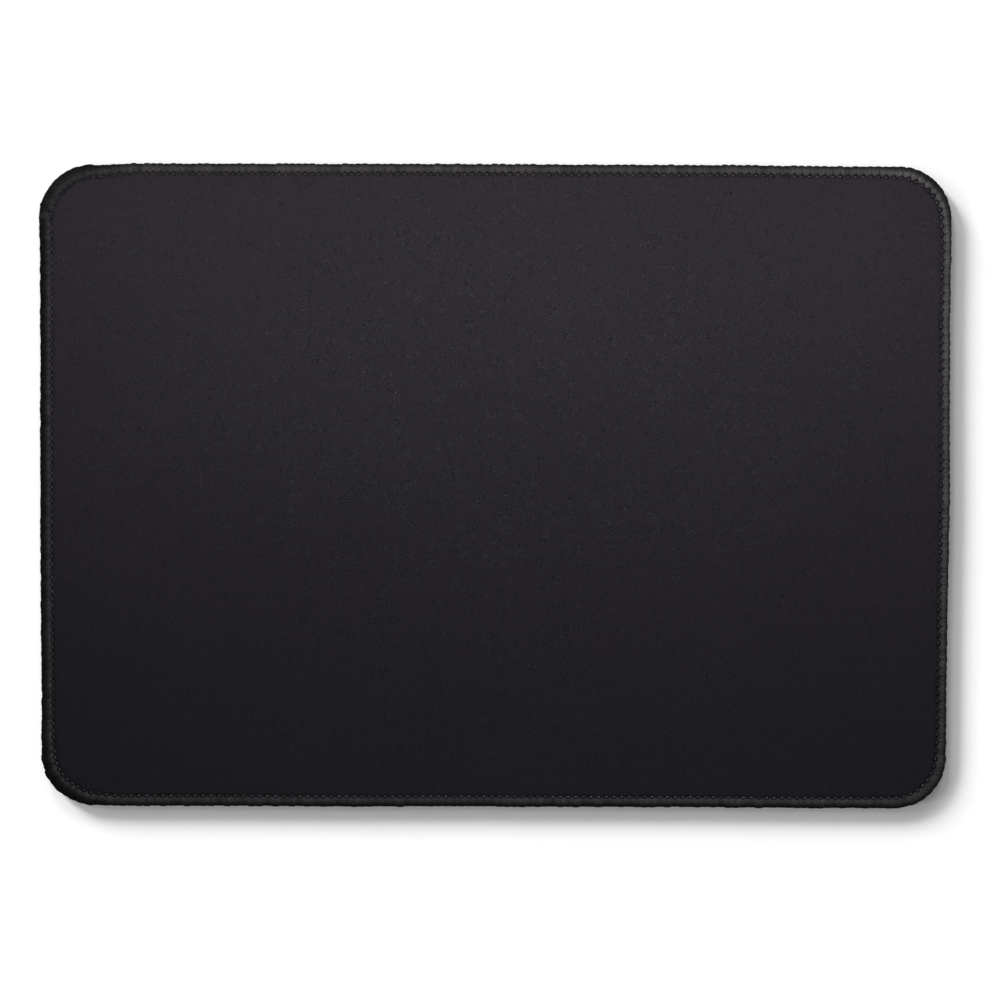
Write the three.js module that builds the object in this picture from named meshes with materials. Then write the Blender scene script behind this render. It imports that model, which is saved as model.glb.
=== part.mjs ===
// A cloth mouse pad with a stitched edge. A woven face is bonded by a thin adhesive film to a base of
// foam rubber, and a three-thread overlock seam wraps the cut edge all the way round.
// Millimetres, +Z up. The origin is on the table surface, under the middle of the pad.

import * as THREE from 'three';

// Overall size, measured over the seam
const padLength = 340;
const padWidth = 240;
const cornerRadius = 20;

// Layers, from the table up
const rubberThickness = 2.4;
const filmThickness = 0.1;
const clothThickness = 0.5;
const rubberEdgeBevel = 0.4; // on the lower edge of the cut, where the threads turn under

// Overlock seam
const stitchPitch = 2.9; // from one needle hole to the next
const seamWidth = 3.6; // from the outline in to the needle line
const looperThickness = 0.6; // a looper yarn, flattened on the edge
const looperRib = 0.3; // how far a band sinks between two stitches
const looperScallop = 0.7; // how far a band's inner edge draws back between two needle holes
const crownInset = 1.9; // from the outline to the highest line of the seam
const crownHeight = 0.3; // the seam above the cloth
const tableClearance = 0.1; // the seam above the table
const interlockGap = 0.1; // between the two looper bands, at half height
const needleThreadWidth = 0.5;
const needleThreadHeight = 0.35;
const threadClearance = 0.05; // between a thread and what it lies on
const puckerWidth = 2.6; // beside the needle line, where the pull of the seam fades out

// Smoothness
const cornerSteps = 12;
const straightSteps = 8;
const puckerSteps = 3;
const crownSteps = 2;

// Heights and insets that follow from the sizes above. An inset runs inwards from the outline.
const filmBottom = rubberThickness;
const clothBottom = filmBottom + filmThickness;
const clothTop = clothBottom + clothThickness;
const seamTop = clothTop + crownHeight;
const seamBottom = tableClearance;
const seamMiddle = (seamTop + seamBottom) / 2;
const threadSpace = looperThickness + threadClearance;
const rimTop = seamTop - threadSpace;
const rimBottom = seamBottom + threadSpace;
const rimInset = threadSpace;
const needleMargin = needleThreadWidth / 2 + threadClearance;
const looperInnerInset = seamWidth - needleMargin;
const grooveInset = seamWidth + needleMargin;

// The edge is walked counterclockwise along the needle line. The spine joins the corner centres.
const straightX = padLength - 2 * cornerRadius;
const straightY = padWidth - 2 * cornerRadius;
const needleRadius = cornerRadius - seamWidth;
const needleArc = needleRadius * Math.PI / 2;
const needleLength = 2 * (straightX + straightY) + 4 * needleArc;
const spineCorners = [
  new THREE.Vector2(-straightX / 2, -straightY / 2),
  new THREE.Vector2(straightX / 2, -straightY / 2),
  new THREE.Vector2(straightX / 2, straightY / 2),
  new THREE.Vector2(-straightX / 2, straightY / 2),
];
const quarters = spineCorners.map((from, index) => ({
  from,
  to: spineCorners[(index + 1) % spineCorners.length],
  straight: index % 2 === 0 ? straightX : straightY,
  outward: (index - 1) * Math.PI / 2,
}));

// A station is a place along the edge: its point on the spine and the direction out of the pad there.
function stationAt(distance) {
  let rest = distance;
  for (const { from, to, straight, outward } of quarters) {
    if (rest < straight) {
      const spine = new THREE.Vector2().lerpVectors(from, to, rest / straight);
      return { distance, spine, outward };
    }
    rest -= straight;
    if (rest < needleArc) {
      return { distance, spine: to, outward: outward + rest / needleRadius };
    }
    rest -= needleArc;
  }
  return { distance, spine: spineCorners[0], outward: quarters[0].outward };
}

// Stations on the plain faces: even steps along each straight, then even steps round its corner
function plainStations(stepsOnStraights) {
  const stations = [];
  let start = 0;
  for (const { straight } of quarters) {
    for (let step = 0; step < stepsOnStraights; step++) {
      stations.push(stationAt(start + straight * step / stepsOnStraights));
    }
    start += straight;
    for (let step = 0; step < cornerSteps; step++) {
      stations.push(stationAt(start + needleArc * step / cornerSteps));
    }
    start += needleArc;
  }
  return stations;
}

// Stations on the ribbed faces: one on each stitch and one midway to the next
function stitchStations() {
  const stitches = Math.round(needleLength / stitchPitch);
  const stations = [];
  for (let half = 0; half < 2 * stitches; half++) {
    stations.push(stationAt(needleLength * half / (2 * stitches)));
  }
  return stations;
}

const sheetStations = plainStations(1);
const innerStations = plainStations(straightSteps);
const ribStations = stitchStations();

// A loop is a closed line round the pad: at each station, a point given by its inset and height.
function loopAlong(stations, sectionAt) {
  return stations.map(({ distance, spine, outward }, index) => {
    const [inset, height] = sectionAt(index);
    const reach = cornerRadius - inset;
    const x = spine.x + Math.cos(outward) * reach;
    const y = spine.y + Math.sin(outward) * reach;
    return { distance, point: new THREE.Vector3(x, y, height) };
  });
}

// Triangles between two loops, stepping along whichever is behind
function joinLoops(first, second, firstStart, secondStart, triangles) {
  const distanceAfter = (loop, index) => (index + 1 < loop.length ? loop[index + 1].distance : needleLength);
  let i = 0;
  let j = 0;
  while (i < first.length || j < second.length) {
    const a = firstStart + (i % first.length);
    const b = secondStart + (j % second.length);
    const firstIsBehind = distanceAfter(first, i) <= distanceAfter(second, j);
    if (j === second.length || (i < first.length && firstIsBehind)) {
      triangles.push(a, firstStart + ((i + 1) % first.length), b);
      i++;
    } else {
      triangles.push(a, secondStart + ((j + 1) % second.length), b);
      j++;
    }
  }
}

// A closed solid from loops that run up the outside: a ring, or a plate whose end loops are filled flat
function solidFromLoops(loops, isRing) {
  const starts = [];
  const positions = [];
  for (const loop of loops) {
    starts.push(positions.length / 3);
    for (const { point } of loop) {
      positions.push(point.x, point.y, point.z);
    }
  }
  const triangles = [];
  const last = loops.length - 1;
  for (let index = 0; index < last; index++) {
    joinLoops(loops[index], loops[index + 1], starts[index], starts[index + 1], triangles);
  }
  if (isRing) {
    joinLoops(loops[last], loops[0], starts[last], starts[0], triangles);
  } else {
    for (const [a, b, c] of flatFill(loops[0])) {
      triangles.push(starts[0] + c, starts[0] + b, starts[0] + a);
    }
    for (const [a, b, c] of flatFill(loops[last])) {
      triangles.push(starts[last] + a, starts[last] + b, starts[last] + c);
    }
  }
  const geometry = new THREE.BufferGeometry();
  geometry.setAttribute('position', new THREE.Float32BufferAttribute(positions, 3));
  geometry.setIndex(triangles);
  geometry.computeVertexNormals();
  return geometry;
}

function flatFill(loop) {
  return THREE.ShapeUtils.triangulateShape(loop.map(({ point }) => new THREE.Vector2(point.x, point.y)), []);
}

// The section of a laminate face, from the rim inwards: level under the seam, then eased to its own height
function facePath(startInset, rimHeight, flatHeight) {
  const path = [[startInset, rimHeight]];
  for (let step = 0; step <= puckerSteps; step++) {
    const part = step / puckerSteps;
    const ease = Math.sin(part * Math.PI / 2);
    path.push([grooveInset + puckerWidth * part, THREE.MathUtils.lerp(rimHeight, flatHeight, ease)]);
  }
  return path;
}

// One layer of the laminate, between the sections of its lower and upper faces
function layerGeometry(lowerFace, upperFace) {
  const section = [...lowerFace.toReversed(), ...upperFace];
  return solidFromLoops(section.map((corner) => loopAlong(sheetStations, () => corner)), false);
}

function clothGeometry() {
  const lowerFace = facePath(rimInset, rimTop - clothThickness, clothBottom);
  const upperFace = facePath(rimInset + clothThickness, rimTop, clothTop);
  return layerGeometry(lowerFace, upperFace);
}

function filmGeometry() {
  const rimFilmTop = rimTop - clothThickness;
  const lowerFace = facePath(rimInset, rimFilmTop - filmThickness, filmBottom);
  const upperFace = facePath(rimInset, rimFilmTop, clothBottom);
  return layerGeometry(lowerFace, upperFace);
}

function rubberGeometry() {
  const underside = facePath(rimInset + rubberEdgeBevel, rimBottom, 0);
  const cutEdge = [rimInset, rimBottom + rubberEdgeBevel];
  const upperFace = facePath(rimInset, rimTop - clothThickness - filmThickness, filmBottom);
  return layerGeometry(underside, [cutEdge, ...upperFace]);
}

// A looper yarn lies across the edge once for each stitch, from the needle line round to half height,
// where it interlocks with the other looper. Its turns lie side by side, so they are one ribbed band.
function looperGeometry({ side, seamFace, rimFace, edgeBevel, crestOffset }) {
  const middle = seamMiddle + side * interlockGap / 2;
  const rimSide = rimFace + side * threadClearance;
  const bevelShift = threadClearance * Math.tan(Math.PI / 8);
  const isCrest = (index) => index % 2 === crestOffset;

  const loops = [loopAlong(innerStations, () => [rimInset - threadClearance, middle])];
  for (let step = 0; step <= crownSteps; step++) {
    const turn = step / crownSteps * Math.PI / 2;
    loops.push(loopAlong(ribStations, (index) => {
      const sink = isCrest(index) ? 0 : looperRib;
      const inset = crownInset * (1 - Math.cos(turn)) + sink * Math.cos(turn);
      const height = THREE.MathUtils.lerp(middle, seamFace, Math.sin(turn)) - side * sink * Math.sin(turn);
      return [inset, height];
    }));
  }
  loops.push(loopAlong(ribStations, (index) => {
    const drawnBack = isCrest(index) ? 0 : looperScallop;
    return [looperInnerInset - drawnBack, rimSide];
  }));
  loops.push(loopAlong(innerStations, () => [rimInset + edgeBevel - bevelShift, rimSide]));
  loops.push(loopAlong(innerStations, () => [
    rimInset - threadClearance,
    rimFace - side * (edgeBevel - bevelShift),
  ]));
  return solidFromLoops(side > 0 ? loops : loops.toReversed(), true);
}

// The needle thread runs along the needle line on the cloth, beside the inner edge of the upper looper.
function needleThreadGeometry() {
  const bottom = rimTop + threadClearance;
  const top = bottom + needleThreadHeight;
  const half = needleThreadWidth / 2;
  const section = [
    [seamWidth + half, bottom],
    [seamWidth - half, bottom],
    [seamWidth - half / 2, top],
    [seamWidth + half / 2, top],
  ];
  return solidFromLoops(section.map((corner) => loopAlong(innerStations, () => corner)), true);
}

function namedPiece(name, geometry, finish) {
  const piece = new THREE.Mesh(geometry, new THREE.MeshStandardMaterial({ metalness: 0, ...finish }));
  piece.name = name;
  return piece;
}

const wovenCloth = { color: 0x2b292e, roughness: 0.9 };
const hotMeltFilm = { color: 0xd9d5ca, roughness: 0.4 };
const foamRubber = { color: 0x1d1d1e, roughness: 0.85 };
const spunThread = { color: 0x3d3c3b, roughness: 0.8 };

const upperLooper = looperGeometry({
  side: 1,
  seamFace: seamTop,
  rimFace: rimTop,
  edgeBevel: clothThickness,
  crestOffset: 0,
});
const lowerLooper = looperGeometry({
  side: -1,
  seamFace: seamBottom,
  rimFace: rimBottom,
  edgeBevel: rubberEdgeBevel,
  crestOffset: 1,
});

const laminate = new THREE.Group();
laminate.add(namedPiece('rubber_base', rubberGeometry(), foamRubber));
laminate.add(namedPiece('bonding_film', filmGeometry(), hotMeltFilm));
laminate.add(namedPiece('top_cloth', clothGeometry(), wovenCloth));

const edgeSeam = new THREE.Group();
edgeSeam.add(namedPiece('needle_thread', needleThreadGeometry(), spunThread));
edgeSeam.add(namedPiece('upper_looper_thread', upperLooper, spunThread));
edgeSeam.add(namedPiece('lower_looper_thread', lowerLooper, spunThread));

const mousePad = new THREE.Group();
mousePad.add(laminate, edgeSeam);

export default mousePad;
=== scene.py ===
import bisect
import math
import random
from functools import partial

import bpy
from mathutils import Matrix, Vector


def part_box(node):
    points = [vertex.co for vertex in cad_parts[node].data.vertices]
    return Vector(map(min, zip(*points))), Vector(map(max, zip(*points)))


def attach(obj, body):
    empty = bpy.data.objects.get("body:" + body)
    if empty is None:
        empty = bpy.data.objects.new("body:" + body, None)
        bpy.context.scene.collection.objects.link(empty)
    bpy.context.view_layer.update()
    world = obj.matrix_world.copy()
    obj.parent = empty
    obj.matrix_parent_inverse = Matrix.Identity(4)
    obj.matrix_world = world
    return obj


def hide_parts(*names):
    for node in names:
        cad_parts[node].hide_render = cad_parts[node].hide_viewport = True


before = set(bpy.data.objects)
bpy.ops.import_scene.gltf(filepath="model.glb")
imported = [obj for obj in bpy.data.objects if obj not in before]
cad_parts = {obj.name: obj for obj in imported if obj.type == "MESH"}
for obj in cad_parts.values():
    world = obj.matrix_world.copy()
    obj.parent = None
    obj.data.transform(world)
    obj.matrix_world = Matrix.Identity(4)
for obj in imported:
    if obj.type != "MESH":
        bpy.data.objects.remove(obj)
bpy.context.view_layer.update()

# A cloth mouse pad with an overlocked edge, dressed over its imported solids.
# Everything is in metres, in the frame of the solids.

scene = bpy.context.scene
mm = 0.001

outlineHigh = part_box("upper_looper_thread")[1]
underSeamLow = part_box("lower_looper_thread")[0]
clothLow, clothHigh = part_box("top_cloth")
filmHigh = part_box("bonding_film")[1]
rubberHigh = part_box("rubber_base")[1]

pad = {
    "halfLength": outlineHigh.x,
    "halfWidth": outlineHigh.y,
    "cornerRadius": 20 * mm,  # of the outline, as in the solids
    "needleInset": 3.6 * mm,  # outline to needle line
    "grooveInset": 3.9 * mm,  # the layers start to rise again here
    "puckerWidth": 4 * mm,  # and are level after this
    "rimInset": outlineHigh.x - clothHigh.x,
    "droop": 0.45 * mm,  # the threads pull the face down at the rim
    "droopWidth": 1.5 * mm,
    "rimRise": 0.25 * mm,  # the face springs up beside the stitches
    "clothTop": clothHigh.z,
    "clothBottom": filmHigh.z,
    "filmBottom": rubberHigh.z,
    "seamTop": outlineHigh.z,
    "seamBottom": underSeamLow.z,
}
pad["clothThickness"] = pad["clothTop"] - pad["clothBottom"]
pad["filmThickness"] = pad["clothBottom"] - pad["filmBottom"]
pad["rimTop"] = clothLow.z + pad["clothThickness"] + pad["rimRise"]
pad["rimBottom"] = pad["seamBottom"] + pad["rimInset"]

# where the end of the seam runs over its start, at the far left corner
join = {
    "beforeCorner": 9 * mm,  # it starts on the far edge, this far from the corner
    "length": 32 * mm,
    "firstEnd": 15 * mm,  # the edge eases in slowly where the second run climbs on
    "lastEnd": 1.6 * mm,  # and steps out where it is cut off
    "squeeze": 0.55 * mm,  # the double seam draws the edge in by this
    "fadeInset": 10 * mm,
    "needleShift": 0.8 * mm,  # and the needle runs further in
}
# guided by hand, so the seam isn't the same all round, and its painted light and shade differ by edge too:
# near edge, its right corner, right edge and so on
wander = {
    "needle": [inset * mm for inset in (3.85, 4.2, 3.5, 4.6, 3.95, 4.5, 4.2, 5.7)],  # from the outline
    "pit": [1.35, 1.6, 1.7, 2.2, 1.3, 2.2, 1.5, 1.8],  # how deep the pit round each needle stitch is, and how dark its painted shade
    "slopeShade": [0.0, 0.0, 0.3, 0.5, 0.8, 1.0, 0.2, 0.0],  # how dark the painted shade on the cloth's slope beside it is
    "fill": [0.5, 0.8, 0.05, 0.35, 0.0, 0.9, 1.0, 1.0],  # how far the yarn closes up
    "rib": [0.4, 0.4, 0.9, 0.5, 1.1, 0.5, 0.45, 0.4],  # how strong the painted shade between its turns is
    "grade": [1.2, 1.0, 1.4, 1.75, 1.25, 0.58, 1.0, 1.35],  # how fast its painted shade darkens it towards the table
    "crown": [0.08, 0.03, 0.0, 0.22, 0.0, 0.44, 0.28, 0.38],  # how far in the painted highlight on its crown lies
    # painted light by edge, as a tone: a painted highlight on the needle stitches, painted light and shade on
    # the looper yarn
    "needleHighlight": [2.2, 2.0, 1.0, 1.0, 1.0, 1.2, 1.6, 2.0],
    "looperLight": [0.97, 0.86, 1.04, 1.7, 0.98, 1.5, 1.16, 1.5],
}
cornerEase = 12 * mm  # a corner's way of sewing eases out this far past its bend
# its stitches grow and shrink: where along the needle line, and how long they are there, in millimetres
stitchLengths = [
    (0, 3.02), (75, 3.02), (95, 2.87), (300, 2.87),  # near edge
    (335, 3.12), (525, 3.12),  # right edge
    (555, 2.86), (705, 2.86), (722, 2.46), (855, 2.46),  # far edge, closer in its left half
    (885, 2.61), (1077, 2.61), (1103, 3.02),  # left edge
]
# nor is the edge quite straight: where along the needle line, and how far it is drawn in there
edgeBow = [
    (0, 0.3), (10, 0.12), (60, 0.15), (95, 0.05), (140, 0.22), (180, 0.15), (220, 0.22),
    (260, 0.0), (300, 0.0), (313, 0.15), (326, 0.62), (340, 0.45), (364, 0.45), (383, 0.37),
    (403, 0.15), (420, 0.0), (432, 0.02), (447, 0.22), (470, 0.45), (488, 0.56), (508, 0.38),
    (526, 0.3), (539, 0.0), (552, 0.0), (580, -0.05), (610, -0.35), (662, -0.37), (737, -0.38),
    (775, -0.22), (831, -0.15), (851, 0.0), (866, 0.0), (870, -0.3), (874, 0.0), (880, 0.15),
    (890, 0.3), (920, 0.35), (950, 0.22), (975, 0.2), (990, 0.08), (1010, 0.18), (1040, 0.3),
    (1055, 0.47), (1077, 0.35), (1087, 0.1), (1095, 0.42), (1103, 0.3),
]
bowInset = (6 * mm, 11 * mm)  # the layers move with the edge up to here, and not at all from there


# the edge is walked counterclockwise along the needle line, from the near left corner
straights = [2 * (pad["halfLength"] - pad["cornerRadius"]), 2 * (pad["halfWidth"] - pad["cornerRadius"])]
quarters = [(-1, -1), (1, -1), (1, 1), (-1, 1)]
spine = [(x * straights[0] / 2, y * straights[1] / 2) for x, y in quarters]
needleRadius = pad["cornerRadius"] - pad["needleInset"]
needleArc = needleRadius * math.pi / 2
needleLength = 2 * sum(straights) + 4 * needleArc
joinStart = 2 * straights[0] + straights[1] + 2 * needleArc - join["beforeCorner"]
cornerMiddles = [sum((straights * 2)[:side + 1]) + needleArc * (side + 0.5) for side in range(4)]
wanderReach = needleArc / 2 + cornerEase


def spinePoint(side, part):
    fromX, fromY = spine[side]
    toX, toY = spine[(side + 1) % 4]
    return fromX + (toX - fromX) * part, fromY + (toY - fromY) * part


def edgePlace(distance):  # the point on the spine, and the way out of the pad
    rest = distance % needleLength
    for side in range(4):
        straight = straights[side % 2]
        outward = (side - 1) * math.pi / 2
        if rest < straight:
            return *spinePoint(side, rest / straight), outward
        rest -= straight
        if rest < needleArc:
            return *spine[(side + 1) % 4], outward + rest / needleRadius
        rest -= needleArc
    return *spine[0], -math.pi / 2


def smoothStep(value):
    value = min(max(value, 0.0), 1.0)
    return value * value * (3 - 2 * value)


def joinAt(distance):  # 1 inside the double run of the seam
    past = (distance - joinStart + join["firstEnd"] / 2) % needleLength
    length = join["length"] + join["firstEnd"] / 2
    return smoothStep(past / join["firstEnd"]) * smoothStep((length - past) / join["lastEnd"])


def wanderAt(name, distance):
    values = wander[name]
    for side in range(4):
        past = (distance - cornerMiddles[side] + needleLength / 2) % needleLength - needleLength / 2
        if abs(past) < wanderReach:
            straight = values[2 * side] if past < 0 else values[(2 * side + 2) % 8]
            return straight + (values[2 * side + 1] - straight) * smoothStep(1 - abs(past) / wanderReach)
    return values[2 * round(edgePlace(distance)[2] / math.pi * 2 + 1)]


def knotAt(knots, distance):  # between the values of a list of places, all in millimetres
    place = distance % needleLength / mm
    for (fromPlace, fromValue), (toPlace, toValue) in zip(knots, knots[1:]):
        if place <= toPlace:
            part = smoothStep((place - fromPlace) / (toPlace - fromPlace))
            return (fromValue + (toValue - fromValue) * part) * mm
    return knots[-1][1] * mm


# the needle holes, as lengths of seam from the join; the last one is the first again
holes = [0.0]
while holes[-1] < needleLength:
    holes.append(holes[-1] + knotAt(stitchLengths, joinStart + holes[-1]))
holes = [hole * needleLength / holes[-1] for hole in holes]
stitchCount = len(holes) - 1
stitchLength = needleLength / stitchCount  # on average


def seamAt(stitches):  # the place along the edge after so many stitches from the join
    turns, rest = divmod(stitches, stitchCount)
    stitch = math.floor(rest)
    part = holes[stitch] + (holes[stitch + 1] - holes[stitch]) * (rest - stitch)
    return joinStart + turns * needleLength + part


def stitchesAt(distance):  # and how many stitches from the join a place is
    past = (distance - joinStart) % needleLength
    stitch = min(bisect.bisect_right(holes, past), stitchCount) - 1
    return stitch + (past - holes[stitch]) / (holes[stitch + 1] - holes[stitch])


joinStitches = round(stitchesAt(joinStart + join["length"]))


def needleInsetAt(distance):
    return wanderAt("needle", distance) + join["needleShift"] * joinAt(distance)


def edgePoint(distance, inset, height):
    spineX, spineY, outward = edgePlace(distance)
    share = smoothStep((bowInset[1] - inset) / (bowInset[1] - bowInset[0]))
    reach = pad["cornerRadius"] - inset - knotAt(edgeBow, distance) * share
    return spineX + math.cos(outward) * reach, spineY + math.sin(outward) * reach, height


def plainDistances(straightStep, cornerSteps):
    distances = []
    start = 0.0
    for side in range(4):
        straight = straights[side % 2]
        for length, steps in ((straight, round(straight / straightStep)), (needleArc, cornerSteps)):
            distances += [start + length * step / steps for step in range(steps)]
            start += length
    return distances


def addPiece(name, mesh):
    piece = bpy.data.objects.new(name, mesh)
    scene.collection.objects.link(piece)
    return piece


# loops of points round the pad become a closed skin; a loop is (distances, points)
def skinFromLoops(name, loops, gridTop=None):
    vertices = []
    faces = []
    starts = []
    for loop in loops:
        starts.append(len(vertices))
        vertices += loop[1]
    for level in range(len(loops) - 1):
        faces += stripFaces(loops[level][0], loops[level + 1][0], starts[level], starts[level + 1])
    faces.append([starts[0] + place for place in reversed(range(len(loops[0][0])))])
    if gridTop is None:
        faces.append([starts[-1] + place for place in range(len(loops[-1][0]))])
    else:
        addGrid(vertices, faces, starts[-1], gridTop)
    mesh = bpy.data.meshes.new(name)
    mesh.from_pydata(vertices, [], faces)
    mesh.validate()
    mesh.shade_smooth()
    return mesh


def stripFaces(first, second, firstStart, secondStart):
    faces = []
    if first == second:
        count = len(first)
        for place in range(count):
            after = (place + 1) % count
            faces.append([firstStart + place, firstStart + after, secondStart + after, secondStart + place])
        return faces
    i = j = 0
    while i < len(first) or j < len(second):
        nextFirst = first[i + 1] if i + 1 < len(first) else needleLength
        nextSecond = second[j + 1] if j + 1 < len(second) else needleLength
        a = firstStart + i % len(first)
        b = secondStart + j % len(second)
        if j == len(second) or (i < len(first) and nextFirst <= nextSecond):
            faces.append([a, firstStart + (i + 1) % len(first), b])
            i += 1
        else:
            faces.append([a, secondStart + (j + 1) % len(second), b])
            j += 1
    return faces


# the level middle of a face, a grid whose rim is the loop round the spine
def gridLoop(cells, height):
    distances = []
    points = []
    start = 0.0
    for side in range(4):
        straight = straights[side % 2]
        steps = cells[side % 2]
        for step in range(steps):
            part = step / steps
            corner = step == 0 and side > 0
            distances.append(start - needleArc / 2 if corner else start + straight * part)
            points.append((*spinePoint(side, part), height))
        start += straight + needleArc
    return distances, points


def addGrid(vertices, faces, rimStart, cells):
    across, along = cells
    height = vertices[rimStart][2]
    index = {}
    rim = [(i, 0) for i in range(across)] + [(across, j) for j in range(along)]
    rim += [(i, along) for i in range(across, 0, -1)] + [(0, j) for j in range(along, 0, -1)]
    for place, cell in enumerate(rim):
        index[cell] = rimStart + place
    for i in range(1, across):
        x = spine[0][0] + straights[0] * i / across
        for j in range(1, along):
            index[i, j] = len(vertices)
            vertices.append((x, spine[0][1] + straights[1] * j / along, height))
    for i in range(across):
        for j in range(along):
            faces.append([index[i, j], index[i + 1, j], index[i + 1, j + 1], index[i, j + 1]])


def puckerRise(past, low, high):  # eased from the seam's height to the level one
    part = min(max(past / pad["puckerWidth"], 0.0), 1.0)
    return low + (high - low) * math.sin(part * math.pi / 2)


# level under the seam, then up to its own height, along the needle line
def layerHeight(distance, inset, rimHeight, flatHeight):
    past = inset - needleInsetAt(distance) + pad["needleInset"] - pad["grooveInset"]
    return puckerRise(past, rimHeight, flatHeight)


def rimDroop(inset):  # the threads round the edge off
    part = min(max(1 - (inset - pad["rimInset"]) / pad["droopWidth"], 0.0), 1.0)
    return pad["droop"] * part * part


def squeezedInset(distance, inset):  # the edge steps in under the double run
    fade = smoothStep(1 - inset / join["fadeInset"])
    return inset + join["squeeze"] * joinAt(distance) * fade


def sectionLoop(distances, inset, heightAt):
    return distances, [edgePoint(d, squeezedInset(d, inset), heightAt(d)) for d in distances]


def layerLoop(inset, rimHeight, flatHeight):  # one plain loop of a layer, drawn down at the rim
    droop = rimDroop(inset)
    return sectionLoop(plainStations, inset, lambda d: layerHeight(d, inset, rimHeight, flatHeight) - droop)


plainStations = plainDistances(straightStep=20 * mm, cornerSteps=14)
innerInsets = [9 * mm, 6.5 * mm, 5.6 * mm, 4.7 * mm, 3.9 * mm]  # then the drawn-down rim
layerInsets = innerInsets + [pad["rimInset"] + pad["droopWidth"] * step / 2 for step in (2, 1, 0)]


# one function puts a node in a tree: its kind with the operation or type of data, what goes into its
# sockets, in order or by name, and its settings; a socket takes a value, a node or another socket
def addNode(tree, kind, *inputs, **settings):
    nodeType, *choice = kind.split()
    if choice in (["ADD"], ["MULTIPLY"]) and len(inputs) > 2:  # a long sum or product is a chain
        inputs = addNode(tree, kind, *inputs[:-1]), inputs[-1]
    prefixes = ("ShaderNode", "GeometryNode", "FunctionNode", "")
    node = tree.nodes.new(next(p + nodeType for p in prefixes if hasattr(bpy.types, p + nodeType)))
    if choice:
        settings["operation" if hasattr(node, "operation") else "data_type"] = choice[0]
    for key, value in settings.items():
        setattr(node, key, value)
    named = inputs and isinstance(inputs[0], dict)
    for key, source in inputs[0].items() if named else enumerate(inputs):
        if isinstance(key, int):
            target = node.inputs[key]
        else:
            target = next(s for s in node.inputs if s.name == key and s.enabled)
        if isinstance(source, bpy.types.Node):
            source = next(s for s in source.outputs if s.enabled)
        if isinstance(source, bpy.types.NodeSocket):
            tree.links.new(source, target)
        else:
            target.default_value = source
    return node


def linear(hexColour):
    channels = [int(hexColour[at:at + 2], 16) / 255 for at in (1, 3, 5)]
    return [c / 12.92 if c <= 0.04045 else ((c + 0.055) / 1.055) ** 2.4 for c in channels] + [1.0]


def makeMaterial(shaderOf):  # named like the function that builds its shader
    material = bpy.data.materials.new(shaderOf.__name__)
    material.use_nodes = True
    material.node_tree.nodes.clear()
    add = partial(addNode, material.node_tree)
    add("OutputMaterial", shaderOf(add))
    return material


# fibres of cloth and yarn hardly shine, and have a faint fuzz at a low angle
fuzz = {"IOR": 1.5, "Specular IOR Level": 0.01, "Sheen Weight": 0.02, "Sheen Roughness": 0.5}
# a noise swings round its middle, mostly within a narrow span
middle = (0.5, 0.5, 0.5)
noiseSpan = (0.3, 0.7)
fineSpan = (0.25, 0.75)

# woven polyester: matt and nearly black, with a violet cast; the thread tops are painted paler and the gaps
# carry painted shade
weave = {
    "threadSpacing": 0.4 * mm,
    "threadWander": 0.35,  # of a thread, sideways
    "wanderSize": 9 * mm,
    "patchSize": 4.2 * mm,  # the weave shows in patches, where it is looser
    "patchRoughness": 0.68,
    "patchNoise": (0.455, 0.585),  # from tight to loose
    "patchContrast": (0.03, 0.71),
    "clearPlace": (10 * mm, 30 * mm, 0.0),  # the weave's painted contrast is strongest here, for the light that rakes across it, and fades towards the edges
    "clearSize": (230 * mm, 150 * mm, 1.0),
    "clearShare": 0.35,  # of that size, where it starts to fade
    "fadedShare": 0.3,
    "threadRise": (0.3, 2.0),  # from the gaps to the tops of the threads
    "crossingSheen": 2.2,  # warp over weft is painted paler than weft over warp, a painted sheen for how the two directions catch the light
    "knuckleContrast": 1.5,  # and a few crossings stand out more
    "knucklePower": 5.0,  # the higher, the fewer
    "darkestTone": 0.1,
    "streakWidth": 0.4 * mm,  # thicker threads show as short streaks
    "streakLength": 4 * mm,
    "streakTone": (0.92, 1.08),
    "cloudSize": 60 * mm,
    "cloudTone": (0.97, 1.03),
    "creaseShade": 0.7,  # painted shade where it is pressed down, in the pits and on the slope by the seam
    "thread": "#323138",
    "gap": "#171719",
    "fuzz": "#8E8C94",
    "roughness": (0.95, 0.78),
    "bumpDepth": 0.12 * mm,
}


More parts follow.
